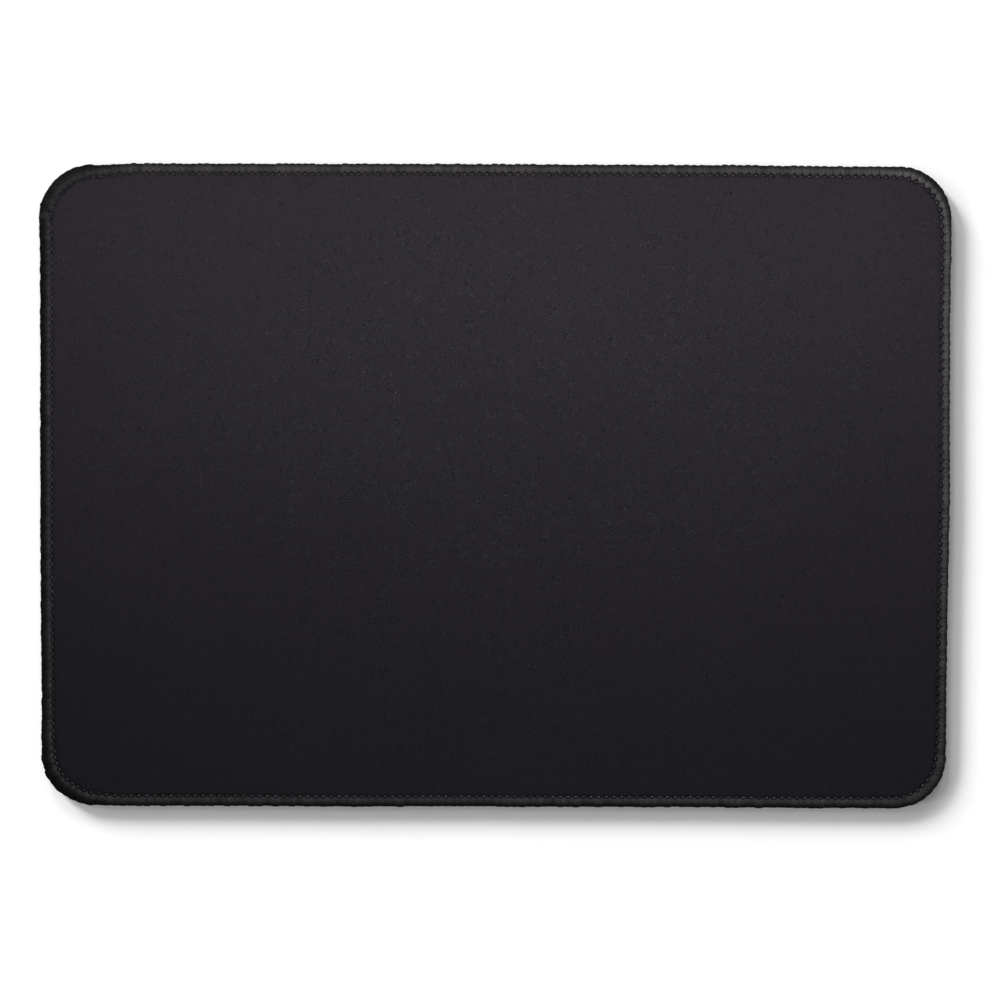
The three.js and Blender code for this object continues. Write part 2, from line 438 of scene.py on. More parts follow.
def wovenPolyester(add):
    place = add("TexCoord").outputs["Object"]
    sway = add("TexNoise", {"Vector": place, "Scale": 1 / weave["wanderSize"], "Detail": 2.0})
    centred = add("VectorMath SUBTRACT", sway.outputs["Color"], middle)
    threads = add("VectorMath MULTIPLY", place, (1 / weave["threadSpacing"],) * 3)
    shifted = add("VectorMath MULTIPLY_ADD", centred, (2 * weave["threadWander"],) * 3, threads)
    turned = add("VectorMath MULTIPLY", shifted, (math.pi,) * 3)
    across, along = add("SeparateXYZ", add("VectorMath SINE", turned)).outputs[:2]
    # plain weave: each thread goes over one crossing and under the next
    warpRise = add("Math MULTIPLY", add("Math SIGN", across), along)
    weftRise = add("Math MULTIPLY", add("Math SIGN", along), across)
    warpHeight = add("Math ADD", warpRise, add("Math ABSOLUTE", across))
    weftHeight = add("Math SUBTRACT", add("Math ABSOLUTE", along), weftRise)
    height = add("Math MAXIMUM", warpHeight, weftHeight)
    relief = add("MapRange", height, *weave["threadRise"])
    patches = add("TexNoise", {"Vector": place, "Scale": 1 / weave["patchSize"], "Detail": 3.0,
                               "Roughness": weave["patchRoughness"]})
    contrast = add("MapRange", patches, *weave["patchNoise"], *weave["patchContrast"])
    fromClear = add("VectorMath SUBTRACT", place, weave["clearPlace"])
    fromClear = add("VectorMath DIVIDE", fromClear, weave["clearSize"])
    fromClear = add("VectorMath LENGTH", fromClear).outputs["Value"]
    rakingShare = add("MapRange", fromClear, weave["clearShare"], 1.0, 1.0, weave["fadedShare"])
    contrast = add("Math MULTIPLY", contrast, rakingShare)
    overUnder = add("Math MULTIPLY", across, along)
    chance = add("TexWhiteNoise", add("VectorMath FLOOR", shifted))
    chance = add("Math MULTIPLY_ADD", chance, 2.0, -1.0)
    chance = add("Math POWER", chance, weave["knucklePower"])
    chance = add("Math MULTIPLY", chance, weave["knuckleContrast"])
    sheenAndKnuckles = add("Math MULTIPLY_ADD", overUnder, weave["crossingSheen"], chance)
    knuckleToneAndSheen = add("Math MULTIPLY_ADD", sheenAndKnuckles, contrast, 1.0)
    knuckleToneAndSheen = add("Math MAXIMUM", knuckleToneAndSheen, weave["darkestTone"])
    streakScale = (1 / weave["streakWidth"], 1 / weave["streakLength"], 1.0)
    streakPlace = add("Mapping", {"Vector": place, "Scale": streakScale})
    streaks = add("TexNoise", {"Vector": streakPlace, "Scale": 1.0, "Detail": 1.0})
    streakTone = add("MapRange", streaks, *fineSpan, *weave["streakTone"])
    clouds = add("TexNoise", {"Vector": place, "Scale": 1 / weave["cloudSize"], "Detail": 3.0})
    cloudTone = add("MapRange", clouds, *noiseSpan, *weave["cloudTone"])
    # painted shade in the pits and on the slope beside the seam
    creaseShadeMask = add("Attribute", attribute_name="creaseShadeMask").outputs["Fac"]
    unshaded = add("Math MULTIPLY_ADD", add("Math MULTIPLY", creaseShadeMask, creaseShadeMask), -weave["creaseShade"], 1.0)
    tone = add("Math MULTIPLY", streakTone, cloudTone, knuckleToneAndSheen, unshaded)
    colour = add("Mix RGBA", {"Factor": relief, "A": linear(weave["gap"]), "B": linear(weave["thread"])})
    toned = add("VectorMath SCALE", {0: colour, "Scale": tone})
    rough = add("MapRange", relief, 0, 1, *weave["roughness"])
    bump = add("Bump", {"Height": relief, "Distance": weave["bumpDepth"], "Strength": 0.8})
    return add("BsdfPrincipled", fuzz | {"Base Color": toned, "Roughness": rough, "Normal": bump,
                                         "Sheen Tint": linear(weave["fuzz"])})


# bulked polyester yarn: dark neutral grey and dull, fine fibres with only faint plies
yarn = {
    "plies": 2,
    "lay": 4 * mm,  # one turn of the plies
    "plyWave": (-1.0, 0.4),  # from groove to crest
    "fibreWidth": 0.12 * mm,
    "fibreLength": 1.6 * mm,
    "fibreRise": 1.2,  # against the plies
    "fibreTone": (0.82, 1.18),
    "patchLength": 14 * mm,  # it is paler and darker along its length
    "patchTone": (0.88, 1.12),
    "flank": (0.45 * mm, 1.05 * mm),  # painted shade on its flanks, away from its middle, where they shade each other
    "flankShade": 0.4,
    # the ply grooves carry a little painted shade
    "crest": "#434142",
    "grooveShade": "#393738",
    "fuzz": "#8A8884",
    "roughness": (0.75, 0.9),
    "bumpDepth": 0.03 * mm,
}


def bulkedPolyesterYarn(add):
    space = add("Attribute", attribute_name="yarnSpace").outputs["Vector"]
    stitchTone = add("Attribute", attribute_name="stitchTone").outputs["Fac"]
    rib = add("Attribute", attribute_name="rib").outputs["Fac"]
    outward, sideways, lengthwise = add("SeparateXYZ", space).outputs
    angle = add("Math ARCTAN2", sideways, outward)
    around = add("Math MULTIPLY", angle, float(yarn["plies"]))
    turns = 2 * math.pi * yarn["plies"] / yarn["lay"]
    twist = add("Math MULTIPLY_ADD", lengthwise, turns, around)
    ply = add("MapRange", add("Math SINE", twist), *yarn["plyWave"])
    fibreScale = (1 / yarn["fibreWidth"], 1 / yarn["fibreWidth"], 1 / yarn["fibreLength"])
    fibrePlace = add("Mapping", {"Vector": space, "Scale": fibreScale})
    fibres = add("TexNoise", {"Vector": fibrePlace, "Scale": 1.0, "Detail": 2.0})
    patches = add("TexNoise", {"W": lengthwise, "Scale": 1 / yarn["patchLength"], "Detail": 1.0},
                  noise_dimensions="1D")
    relief = add("Math MULTIPLY_ADD", fibres, yarn["fibreRise"], ply)
    fibreTone = add("MapRange", fibres, *fineSpan, *yarn["fibreTone"])
    patchTone = add("MapRange", patches, *noiseSpan, *yarn["patchTone"])
    flank = add("MapRange", add("Math ABSOLUTE", sideways), *yarn["flank"])
    flank = add("Math MULTIPLY_ADD", add("Math MULTIPLY", flank, rib), -yarn["flankShade"], 1.0)
    tone = add("Math MULTIPLY", fibreTone, patchTone, stitchTone, flank)
    colour = add("Mix RGBA", {"Factor": ply, "A": linear(yarn["grooveShade"]), "B": linear(yarn["crest"])})
    toned = add("VectorMath SCALE", {0: colour, "Scale": tone})
    rough = add("MapRange", fibres, 0, 1, *yarn["roughness"])
    bump = add("Bump", {"Height": relief, "Distance": yarn["bumpDepth"], "Strength": 0.7})
    return add("BsdfPrincipled", fuzz | {"Base Color": toned, "Roughness": rough, "Normal": bump,
                                         "Sheen Tint": linear(yarn["fuzz"])})


# foamed natural rubber: black, dull, faintly pitted by its cells
rubber = {
    "cellSize": 0.5 * mm,
    "cellRim": (0.1, 0.6),  # from the middle of a cell to its wall
    "grimeSize": 25 * mm,
    "grimeTone": (0.4, 0.6),
    "roughness": (0.7, 0.88),
    "light": "#232324",
    "dark": "#141415",
    "bumpDepth": 0.05 * mm,
    "bevel": 0.4 * mm,  # of the cut edge, underneath
    "gripDepth": 0.12 * mm,  # studs pressed into the underside
    "gripSpacing": 2.5 * mm,
    "studHalf": 1.1 * mm,
    "studTopHalf": 0.75 * mm,
    "gripInset": 8 * mm,
}


def foamRubber(add):
    place = add("TexCoord").outputs["Object"]
    cells = add("TexVoronoi", {"Vector": place, "Scale": 1 / rubber["cellSize"]})
    grime = add("TexNoise", {"Vector": place, "Scale": 1 / rubber["grimeSize"], "Detail": 4.0})
    # the cell pits are its bumps and also carry painted shade, darker in their middles
    cellPitsAndShade = add("MapRange", cells.outputs["Distance"], *rubber["cellRim"])
    worn = add("MapRange", grime, *noiseSpan, *rubber["grimeTone"])
    tone = add("Math MULTIPLY", cellPitsAndShade, worn)
    colour = add("Mix RGBA", {"Factor": tone, "A": linear(rubber["dark"]), "B": linear(rubber["light"])})
    rough = add("MapRange", grime, *noiseSpan, *rubber["roughness"])
    bump = add("Bump", {"Height": cellPitsAndShade, "Distance": rubber["bumpDepth"], "Strength": 0.6})
    return add("BsdfPrincipled", {"Base Color": colour, "Roughness": rough, "Normal": bump, "IOR": 1.52,
                                  "Specular IOR Level": 0.4})


# hot-melt film: a thin cloudy adhesive, seen only at the cut edge between the threads
film = {"clear": "#C9C5B8", "cloudy": "#E2DED2", "cloudSize": 3 * mm, "roughness": (0.3, 0.5)}


def hotMeltFilm(add):
    place = add("TexCoord").outputs["Object"]
    clouds = add("TexNoise", {"Vector": place, "Scale": 1 / film["cloudSize"], "Detail": 3.0})
    colour = add("Mix RGBA", {"Factor": clouds, "A": linear(film["clear"]), "B": linear(film["cloudy"])})
    rough = add("MapRange", clouds, 0, 1, *film["roughness"])
    return add("BsdfPrincipled", {"Base Color": colour, "Roughness": rough, "IOR": 1.48})


clothMaterial = makeMaterial(wovenPolyester)
yarnMaterial = makeMaterial(bulkedPolyesterYarn)
rubberMaterial = makeMaterial(foamRubber)
filmMaterial = makeMaterial(hotMeltFilm)
print("materials made")


# the cloth face, bitten by the needle thread and drawn down at every needle hole
cloth = {
    "stationsPerStitch": 8,
    # insets of its fine loops, in millimetres: under the seam, then from the needle line
    "rimLoops": [1.0, 1.4, 1.9],
    "needleLoops": [-1.3, -0.9, -0.6, -0.35, -0.15, 0.05, 0.25, 0.5, 0.8, 1.2, 1.8, 2.7, 4.0],
    "calmInset": 11 * mm,  # no pucker reaches past this
    "pitDepth": 0.28 * mm,  # a ring pressed in round each needle stitch
    "pitReach": 0.7 * mm,  # across the seam
    "pitLength": 1.05 * mm,  # along it
    "pitWidth": 0.42,  # of the ring itself, in shares of those
    "pitOpening": 0.5,  # the ring is shallow at one end
    "pitSide": 0.45,  # and on its inner side
    "pitSpread": (0.5, 1.2),  # no two are quite alike
    "deepestPit": 1.3,
    "seed": 11,
    "creaseDepth": 0.9 * mm,  # the drop over which the painted shade on the slope builds up
    "slopeShadeShare": 0.55,
    "biteDepth": 0.12 * mm,  # the needle thread sinks in
    "biteWidth": 0.5 * mm,
    "holeDepth": 0.12 * mm,
    "holeWidth": 0.6 * mm,
    "gridCells": (30, 20),
}
chance = random.Random(cloth["seed"])
pitShare = [chance.uniform(*cloth["pitSpread"]) for stitch in range(stitchCount)]


def pitAt(distance, inset):  # 1 in the pit; it sets its depth and its painted shade
    phase = stitchesAt(distance)
    across = (inset - needleInsetAt(distance)) / cloth["pitReach"]
    along = (phase - math.floor(phase) - 0.5) * stitchLength / cloth["pitLength"]
    away = math.hypot(across, along) + 0.001  # never quite nothing, to divide by
    share = math.exp(-((away - 1) / cloth["pitWidth"]) ** 2)
    share *= 1 - cloth["pitOpening"] * (0.5 + 0.5 * along / away)
    share *= 1 - cloth["pitSide"] * (0.5 + 0.5 * across / away)
    return share * wanderAt("pit", distance) * pitShare[math.floor(phase) % stitchCount]


def clothHeight(distance, inset):
    fromLine = inset - needleInsetAt(distance)
    phase = stitchesAt(distance)
    fromHole = (phase - round(phase)) * stitchLength / cloth["holeWidth"]
    fromMiddle = (phase - math.floor(phase) - 0.5) * stitchLength / cloth["pitLength"]
    pit = cloth["pitDepth"] * min(pitAt(distance, inset), cloth["deepestPit"])
    bite = cloth["biteDepth"] * math.exp(-(fromLine / cloth["biteWidth"]) ** 2 - fromMiddle ** 2)
    hole = cloth["holeDepth"] * math.exp(-(fromLine / cloth["holeWidth"]) ** 2 - fromHole ** 2)
    return layerHeight(distance, inset, pad["rimTop"], pad["clothTop"]) - rimDroop(inset) - pit - bite - hole


# painted shade in the pits and on the slope beside the seam, up to 1
def creaseAt(distance, inset):
    drop = (pad["clothTop"] - clothHeight(distance, inset)) / cloth["creaseDepth"]
    slopeShade = drop * cloth["slopeShadeShare"] * wanderAt("slopeShade", distance)
    return min(slopeShade + pitAt(distance, inset), 1.0)


def makeCloth():
    rimBottom = pad["rimTop"] - pad["clothThickness"]
    count = stitchCount * cloth["stationsPerStitch"]
    fine = [needleLength * step / count for step in range(count)]
    loops = [layerLoop(inset, rimBottom, pad["clothBottom"]) for inset in layerInsets]
    rimHeight = pad["rimTop"] - pad["droop"] - pad["clothThickness"] / 3
    loops.append(sectionLoop(fine, pad["rimInset"], lambda d: rimHeight))
    creaseShadeMasks = [1.0] * sum(len(stations) for stations, points in loops)
    fineInsets = [[step * mm] * count for step in cloth["rimLoops"]]
    fineInsets += [[needleInsetAt(d) + step * mm for d in fine] for step in cloth["needleLoops"]]
    for insets in fineInsets:
        places = list(zip(fine, insets))
        points = [edgePoint(d, squeezedInset(d, inset), clothHeight(d, inset)) for d, inset in places]
        loops.append((fine, points))
        creaseShadeMasks += [creaseAt(d, inset) for d, inset in places]
    loops.append(sectionLoop(plainStations, cloth["calmInset"], lambda d: pad["clothTop"]))
    loops.append(gridLoop(cloth["gridCells"], pad["clothTop"]))
    mesh = skinFromLoops("clothFace", loops, cloth["gridCells"])
    creaseShadeMasks += [0.0] * (len(mesh.vertices) - len(creaseShadeMasks))
    mesh.attributes.new("creaseShadeMask", "FLOAT", "POINT").data.foreach_set("value", creaseShadeMasks)
    mesh.materials.append(clothMaterial)
    return addPiece("cloth_face", mesh)


clothFace = makeCloth()
print("cloth face:", len(clothFace.data.polygons), "faces")


def makeFilm():
    rimTop = pad["rimTop"] - pad["clothThickness"]
    loops = [layerLoop(inset, rimTop - pad["filmThickness"], pad["filmBottom"]) for inset in layerInsets]
    loops += [layerLoop(inset, rimTop, pad["clothBottom"]) for inset in reversed(layerInsets)]
    mesh = skinFromLoops("bondFilm", loops)
    mesh.materials.append(filmMaterial)
    return addPiece("bond_film", mesh)


bondFilm = makeFilm()
print("bond film:", len(bondFilm.data.polygons), "faces")


# a node tree with a socket for each value; a function builds the geometry in it
def makeTree(name, values, geometryOf):
    tree = bpy.data.node_groups.new(name, "GeometryNodeTree")
    for way in ("OUTPUT", "INPUT"):
        tree.interface.new_socket("Geometry", in_out=way, socket_type="NodeSocketGeometry")
    for socket, value in values.items():
        kind = {float: "Float", int: "Int"}.get(type(value), "Material")
        tree.interface.new_socket(socket, in_out="INPUT", socket_type="NodeSocket" + kind)
    add = partial(addNode, tree)
    given = add("NodeGroupInput").outputs
    solid = add("RealizeInstances", geometryOf(tree, add, given))
    dressed = add("SetMaterial", {"Geometry": solid, "Material": given["Material"]})
    add("NodeGroupOutput", dressed)
    return tree


# the studs under the base, laid out on a square net inside a rounded rectangle
def gripStuds(tree, add, given):
    acrossCount = add("Math FLOOR", add("Math DIVIDE", given["Length"], given["Spacing"]))
    alongCount = add("Math FLOOR", add("Math DIVIDE", given["Width"], given["Spacing"]))
    net = add("MeshGrid", given["Length"], given["Width"], acrossCount, alongCount)
    size = add("CombineXYZ", given["Length"], given["Width"])
    half = add("VectorMath SCALE", {0: size, "Scale": 0.5})
    radius = add("CombineXYZ", given["Corner Radius"], given["Corner Radius"])
    core = add("VectorMath SUBTRACT", half, radius)
    folded = add("VectorMath ABSOLUTE", add("InputPosition"))
    past = add("VectorMath SUBTRACT", folded, core)
    outside = add("VectorMath MAXIMUM", past, (0, 0, 0))
    distance = add("VectorMath LENGTH", outside).outputs["Value"]
    inside = add("Compare LESS_THAN", {"A": distance, "B": given["Corner Radius"]})
    stud = add("MeshCone", {"Vertices": 4, "Radius Top": given["Stud Half"],
                            "Radius Bottom": given["Stud Top Half"], "Depth": given["Stud Height"]})
    studs = add("InstanceOnPoints", net, inside, stud)
    joined = add("JoinGeometry", studs)
    tree.links.new(given["Geometry"], joined.inputs["Geometry"])
    return joined


def applyTree(source, name, tree, values):  # runs a tree on an object and keeps the plain mesh
    modifier = source.modifiers.new("nodes", "NODES")
    modifier.node_group = tree
    for item in tree.interface.items_tree:
        if item.in_out == "INPUT" and item.name in values:
            modifier[item.identifier] = values[item.name]
    evaluated = source.evaluated_get(bpy.context.evaluated_depsgraph_get())
    mesh = bpy.data.meshes.new_from_object(evaluated)
    mesh.name = name
    bpy.data.objects.remove(source)
    return addPiece(name, mesh)


def makeRubber():
    rimTop = pad["rimTop"] - pad["clothThickness"] - pad["filmThickness"]
    loops = []
    for inset in innerInsets + [pad["rimInset"] + rubber["bevel"]]:
        height = puckerRise(inset - pad["grooveInset"], pad["rimBottom"], rubber["gripDepth"])
        loops.append(sectionLoop(plainStations, inset, lambda d: height))
    loops.append(sectionLoop(plainStations, pad["rimInset"], lambda d: pad["rimBottom"] + rubber["bevel"]))
    loops += [layerLoop(inset, rimTop, pad["filmBottom"]) for inset in reversed(layerInsets)]
    sheet = addPiece("rubberSheet", skinFromLoops("rubberSheet", loops))
    studs = {
        "Length": 2 * (pad["halfLength"] - rubber["gripInset"]),
        "Width": 2 * (pad["halfWidth"] - rubber["gripInset"]),
        "Corner Radius": pad["cornerRadius"] - rubber["gripInset"],
        "Spacing": rubber["gripSpacing"],
        "Stud Half": rubber["studHalf"],
        "Stud Top Half": rubber["studTopHalf"],
        "Stud Height": 2 * rubber["gripDepth"],  # half of it is sunk into the sheet
        "Material": rubberMaterial,
    }
    return applyTree(sheet, "foam_base", makeTree("gripStuds", studs, gripStuds), studs)


foamBase = makeRubber()
print("foam base:", len(foamBase.data.polygons), "faces")


# the seam: one run of the edge for all three threads, which passes its own start at the join
seam = {
    "yarnThickness": 0.5 * mm,
    "needleWidth": 0.28 * mm,
    "needleRise": 0.12 * mm,  # of its middle over the cloth
    "crownRise": 0.25 * mm,  # of the upper looper's middle over the squeezed cloth
    "passing": 0.2 * mm,  # the loops of both loopers pass each other, this far off the middle
    "driftSpan": 0.3,  # of a stitch, for a whole drift
    "lapEase": 3,  # the second run climbs on over this many stitches
    "wallStart": 0.85,  # the yarn's wall starts this part of the way out
    "holeClear": (0.13, 0.26),  # the yarn stays thin up to here, clear of the needle hole
    "seed": 7,
}


def makeRun(steps, lightName):
    count = (stitchCount + joinStitches) * steps + steps // 2  # ends at the outline
    points = []
    values = {name: [] for name in ("lap", "fray", "fill", "rib", "grade", "crown", "edgeTone", "reach")}
    for step in range(count + 1):
        distance = seamAt(step / steps)
        inset = needleInsetAt(distance)
        points.append(edgePoint(distance, inset, 0.0))
        values["lap"].append(smoothStep((step / steps - stitchCount) / seam["lapEase"] + 0.5))
        values["fray"].append(1.0 if step > count - steps / 2 else 0.0)
        values["edgeTone"].append(wanderAt(lightName, distance))
        values["reach"].append(inset - squeezedInset(distance, 0.0))
        for name in ("fill", "rib", "grade", "crown"):
            values[name].append(wanderAt(name, distance))
    mesh = bpy.data.meshes.new("seamRun")
    mesh.from_pydata(points, [(i, i + 1) for i in range(count)], [])
    for name in values:
        mesh.attributes.new(name, "FLOAT", "POINT").data.foreach_set("value", values[name])
    return addPiece("seamRun", mesh)


# the shape of each thread, from its needle hole (0) to the middle of its stitch (1)
looperShape = {
    "reach": [(0, 0), (0.1, 0.114), (0.2, 0.229), (0.283, 0.329), (0.383, 0.443), (0.525, 0.614),
              (0.668, 0.786), (0.783, 0.9), (0.892, 0.971), (1, 1)],
    "height": [(0, 0.545), (0.1, 0.68), (0.2, 0.84), (0.283, 0.94), (0.383, 1), (0.45, 0.994), (0.525, 0.952),
               (0.668, 0.788), (0.783, 0.558), (0.892, 0.303), (1, 0.05)],
    "drift": [(0, 0.5), (0.1, 0.433), (0.2, 0.4), (0.283, 0.5), (0.383, 0.595), (0.525, 0.458), (0.668, 0.25),
              (0.783, 0.162), (0.892, 0.247), (1, 0.5)],
    "turn": [(0, 0), (0.5, 0), (0.668, 0.3), (0.783, 0.5), (0.892, 0.72), (1, 1)],
    "girth": [(0, 0.3), (0.1, 0.34), (0.17, 0.45), (0.23, 0.8), (0.3, 1), (0.383, 1), (0.5, 1), (0.668, 0.95),
              (0.783, 0.8), (0.892, 0.52), (1, 0.5)],
    # painted light and shade: pale on the crown, dark towards the table
    "paintedShading": [(0, 0.95), (0.155, 1), (0.24, 1), (0.333, 1), (0.422, 0.98), (0.508, 0.88), (0.596, 0.68),
             (0.69, 0.46), (0.815, 0.32), (0.89, 0.27), (1, 0.25)],
}
needleShape = {
    "reach": [(0, 0), (1, 0)],
    "height": [(0, 0), (0.5, 0.45), (0.68, 0.8), (0.8, 0.95), (1, 1)],
    "drift": [(0, 0.5), (1, 0.5)],
    "turn": [(0, 1), (1, 1)],
    "girth": [(0, 0.8), (0.4, 1), (1, 1)],
    "paintedShading": [(0, 1), (1, 1)],
}


# what the node trees take, with the upper looper's values
seamMiddle = (pad["seamTop"] + pad["seamBottom"]) / 2
upperValues = {
    "Phase": 0.0,
    "Reach Share": 1.0,
    "Edge Height": seamMiddle - seam["passing"],
    "Crown Height": pad["rimTop"] + seam["crownRise"],
    "Face": 1.0,  # flat side up
    "Stitch Length": stitchLength,
    "Lap Lift": 0.2 * mm,  # the second run lies on the first
    "Lap Shift": stitchLength / 2,
    "Unevenness": 0.04,
    "Wobble": 0.06 * mm,
    "Wobble Size": 1.7 * mm,
    "Width": 2.1 * mm,  # bulked yarn, spread flat where it crosses the edge
    "Thickness": seam["yarnThickness"],
    "Full Girth": 1.3,  # of the plain yarn, where it closes up
    "Darkest": 1.25,  # tone of a stitch
    "Palest": 1.72,
    "Fray Tone": 1.5,  # the cut end of the last stitch is paler
    "Wall Light": 2.2,  # and the painted shade is lifted again round the outline
    "Steps": 24,  # points for each stitch
    "Sides": 8,
    "Seed": seam["seed"],
    "Material": yarnMaterial,
}


# a thread: the run of the edge is bent into stitches, and the yarn is swept along it
def sewnThread(shape, tree, add, given):
    run = add("MeshToCurve", given["Geometry"])
    edge = {}  # what the run knows of its place
    for value in ("lap", "fray", "fill", "grade", "crown", "edgeTone", "reach"):
        edge[value] = add("InputNamedAttribute", value)
    # which stitch a point is in, and how far it is from the needle hole
    count = add("Math ADD", add("Math DIVIDE", add("InputIndex"), given["Steps"]), given["Phase"])
    phase = add("Math FRACT", count)
    stitch = add("Math FLOOR", count)
    away = add("Math MULTIPLY", add("Math PINGPONG", phase, 0.5), 2.0)
    leg = add("Math SIGN", add("Math SUBTRACT", 0.5, phase))  # going out, or coming back
    highlightAway = add("Math ADD", away, edge["crown"])
    shaped = {}
    for part, points in shape.items():
        node = add("FloatCurve", {"Value": highlightAway if part == "paintedShading" else away})
        node.mapping.extend = "HORIZONTAL"
        line = node.mapping.curves[0]
        line.points[0].location = points[0]
        line.points[1].location = points[-1]
        for x, y in points[1:-1]:
            line.points.new(x, y)
        node.mapping.update()
        shaped[part] = node
    # no two stitches are quite alike
    least = add("Math SUBTRACT", 1.0, given["Unevenness"])
    most = add("Math ADD", 1.0, given["Unevenness"])
    chance = add("RandomValue", {"Min": least, "Max": most, "ID": stitch, "Seed": given["Seed"]})
    share = add("Math MULTIPLY", edge["reach"], given["Reach Share"])
    reach = add("Math MULTIPLY", shaped["reach"], share, chance)
    lift = add("Math MULTIPLY", edge["lap"], given["Lap Lift"], given["Face"])
    height = add("MapRange", shaped["height"], 0, 1, given["Edge Height"], given["Crown Height"], clamp=False)
    height = add("Math ADD", height, lift)
    halfDrift = seam["driftSpan"] / 2
    drift = add("MapRange", shaped["drift"], 0, 1, -halfDrift, halfDrift, clamp=False)
    drift = add("Math MULTIPLY", drift, leg, given["Stitch Length"])
    drift = add("Math MULTIPLY_ADD", edge["lap"], given["Lap Shift"], drift)
    tangent = add("InputTangent")
    outward = add("VectorMath NORMALIZE", add("VectorMath CROSS_PRODUCT", tangent, (0, 0, 1)))
    sideways = add("VectorMath SCALE", {0: tangent, "Scale": drift})
    out = add("VectorMath SCALE", {0: outward, "Scale": reach})
    up = add("CombineXYZ", {"Z": height})
    grain = add("Math DIVIDE", 1.0, given["Wobble Size"])
    noise = add("TexNoise", {"Vector": add("InputPosition"), "Scale": grain, "Detail": 1.0})
    unsteady = add("VectorMath SUBTRACT", noise.outputs["Color"], middle)
    unsteady = add("VectorMath SCALE", {0: unsteady, "Scale": given["Wobble"]})
    move = add("VectorMath ADD", out, up, sideways, unsteady)
    # the yarn's flat side faces away from the edge that it wraps
    facing = add("CombineXYZ", {"Z": given["Face"]})
    flatSide = add("Mix VECTOR", {"Factor": shaped["turn"], "A": facing, "B": outward})
    shade = add("RandomValue", {"Min": given["Darkest"], "Max": given["Palest"], "ID": stitch,
                                "Seed": given["Seed"]})
    paintedShading = add("Math POWER", shaped["paintedShading"], edge["grade"])  # painted light and shade: paler on the crown, darker towards the table
    wall = add("MapRange", away, seam["wallStart"], 1.0, 1.0, given["Wall Light"])
    shade = add("Math MULTIPLY", shade, edge["edgeTone"], paintedShading, wall)
    shade = add("Mix FLOAT", {"Factor": edge["fray"], "A": shade, "B": given["Fray Tone"]})
    fill = add("Math MULTIPLY", edge["fill"], add("MapRange", away, *seam["holeClear"]))
    lean = add("Math SUBTRACT", given["Full Girth"], shaped["girth"])
    girth = add("Math MULTIPLY_ADD", lean, fill, shaped["girth"])
    kept = add("CaptureAttribute", run)
    for socket, kind, source in ((1, "VECTOR", flatSide), (2, "FLOAT", girth), (3, "FLOAT", shade)):
        kept.capture_items.new(kind, kind.lower() + str(socket))
        tree.links.new(next(s for s in source.outputs if s.enabled), kept.inputs[socket])
    flatSide, girth, tone = kept.outputs[1:4]
    moved = add("SetPosition", {"Geometry": kept, "Offset": move})
    along = add("VectorMath PROJECT", flatSide, add("InputTangent"))
    square = add("VectorMath NORMALIZE", add("VectorMath SUBTRACT", flatSide, along))
    faced = add("SetCurveNormal", {"Curve": moved, "Normal": square}, mode="FREE")
    measured = add("CaptureAttribute", faced)
    measured.capture_items.new("FLOAT", "length")
    tree.links.new(add("SplineParameter").outputs["Length"], measured.inputs[1])
    ring = add("CurvePrimitiveCircle", {"Resolution": given["Sides"], "Radius": 0.5})
    ringSize = add("CombineXYZ", given["Thickness"], given["Width"], 1.0)
    oval = add("Transform", {"Geometry": ring, "Scale": ringSize})
    section = add("CaptureAttribute", oval)
    section.capture_items.new("VECTOR", "section")
    tree.links.new(add("InputPosition").outputs[0], section.inputs[1])
    swept = add("CurveToMesh", {"Curve": measured, "Profile Curve": section, "Scale": girth,
                                "Fill Caps": True})
    # the material reads a place on the yarn (across, across, along) and a tone for each stitch, which carries
    # its painted light and shade as well
    lengthwise = add("CombineXYZ", {"Z": measured.outputs[1]})
    yarnSpace = add("VectorMath ADD", section.outputs[1], lengthwise)
    for label, kind, value in (("yarnSpace", "FLOAT_VECTOR", yarnSpace), ("stitchTone", "FLOAT", tone)):
        swept = add("StoreNamedAttribute " + kind, {"Geometry": swept, "Name": label, "Value": value})
    return add("SetShadeSmooth", swept)


looperTree = makeTree("looperThread", upperValues, partial(sewnThread, looperShape))
needleTree = makeTree("needleThread", upperValues, partial(sewnThread, needleShape))


def sew(name, tree, lightName, values):
    return applyTree(makeRun(values["Steps"], lightName), name, tree, values)


upperLooper = sew("upper_looper", looperTree, "looperLight", upperValues)
lowerLooper = sew("lower_looper", looperTree, "looperLight", upperValues | {
    "Phase": 0.5,
    "Reach Share": 0.93,  # it stays inside the upper one
    "Edge Height": seamMiddle + seam["passing"],
    "Crown Height": pad["seamBottom"] + seam["yarnThickness"] / 2,
    "Face": -1.0,
    "Lap Lift": 0.0,
    "Seed": seam["seed"] + 1,
})
needleThread = sew("needle_stitches", needleTree, "needleHighlight", upperValues | {
    "Reach Share": 0.0,
    "Edge Height": pad["rimBottom"] - seam["needleWidth"] / 2,
    "Crown Height": pad["rimTop"] + seam["needleRise"],
    "Lap Lift": 0.0,
    "Width": seam["needleWidth"],
    "Thickness": seam["needleWidth"],
    "Darkest": 1.0,  # pulled tight and smoother; painted paler, as a painted highlight on each stitch
    "Palest": 2.6,
    "Wall Light": 1.0,
    "Steps": 12,
    "Sides": 6,
    "Seed": seam["seed"] + 2,
})
for thread in (upperLooper, lowerLooper, needleThread):
    print(thread.name, len(thread.data.polygons), "faces")


# every piece rides on the one body of the pad
for piece, node, slot in (
    (clothFace, "top_cloth", "woven_cloth"),
    (bondFilm, "bonding_film", "hot_melt_film"),
    (foamBase, "rubber_base", "foam_rubber"),
    (needleThread, "needle_thread", "spun_thread"),
    (upperLooper, "upper_looper_thread", "spun_thread"),
    (lowerLooper, "lower_looper_thread", "spun_thread"),
):
    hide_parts(node)
    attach(piece, "root")
print("pieces ride on the pad")


